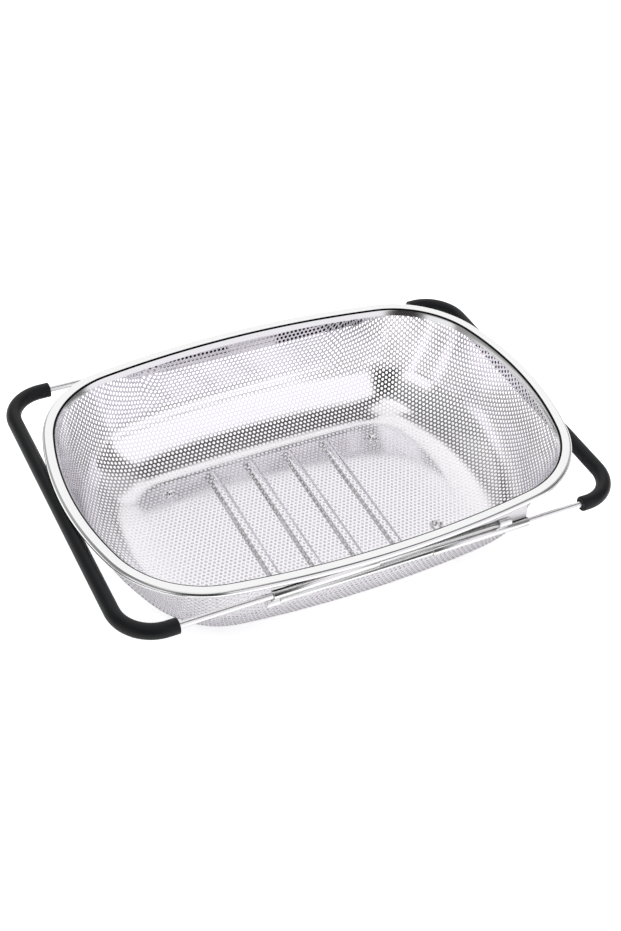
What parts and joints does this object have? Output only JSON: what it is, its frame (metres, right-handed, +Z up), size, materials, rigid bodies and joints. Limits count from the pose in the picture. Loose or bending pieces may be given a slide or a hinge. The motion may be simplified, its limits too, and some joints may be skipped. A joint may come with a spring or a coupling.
{
  "type": "strainer basket",
  "caption": "Perforated steel washing basket with a rolled rim, ribbed floor and pressed feet, and two wire handles with soft grips that slide out to rest across a sink.",
  "frame": {"origin": "middle of the basket, on the surface that its four pressed feet stand on", "axes": "+Z up out of the basket's mouth, +X along its length towards the handle whose rods run lower, +Y towards the back long side"},
  "size_m": [0.3686, 0.2504, 0.0785],
  "materials": {
    "polished_stainless": "mirror-polished stainless steel",
    "perforated_stainless": "bright pressed stainless sheet",
    "drawn_stainless_wire": "bright drawn stainless wire",
    "black_rubber": "satin black rubber"
  },
  "bodies": {
    "basket": {"basket_shell": "perforated_stainless", "rim": "polished_stainless", "rim_core_wire": "drawn_stainless_wire", "guide_front_left": "polished_stainless", "guide_back_left": "polished_stainless", "guide_front_right": "polished_stainless", "guide_back_right": "polished_stainless"},
    "left_handle": {"handle_wire_left": "drawn_stainless_wire", "grip_left": "black_rubber", "ferrule_front_left": "drawn_stainless_wire", "ferrule_back_left": "drawn_stainless_wire"},
    "right_handle": {"handle_wire_right": "drawn_stainless_wire", "grip_right": "black_rubber", "ferrule_front_right": "drawn_stainless_wire", "ferrule_back_right": "drawn_stainless_wire"}
  },
  "joints": [
    {"name": "left_handle_slide", "type": "slide", "parent": "basket", "child": "left_handle", "axis": [-1, 0, 0], "range_m": [0, 0.09]},
    {"name": "right_handle_slide", "type": "slide", "parent": "basket", "child": "right_handle", "axis": [1, 0, 0], "range_m": [-0.004, 0.1095]}
  ]
}
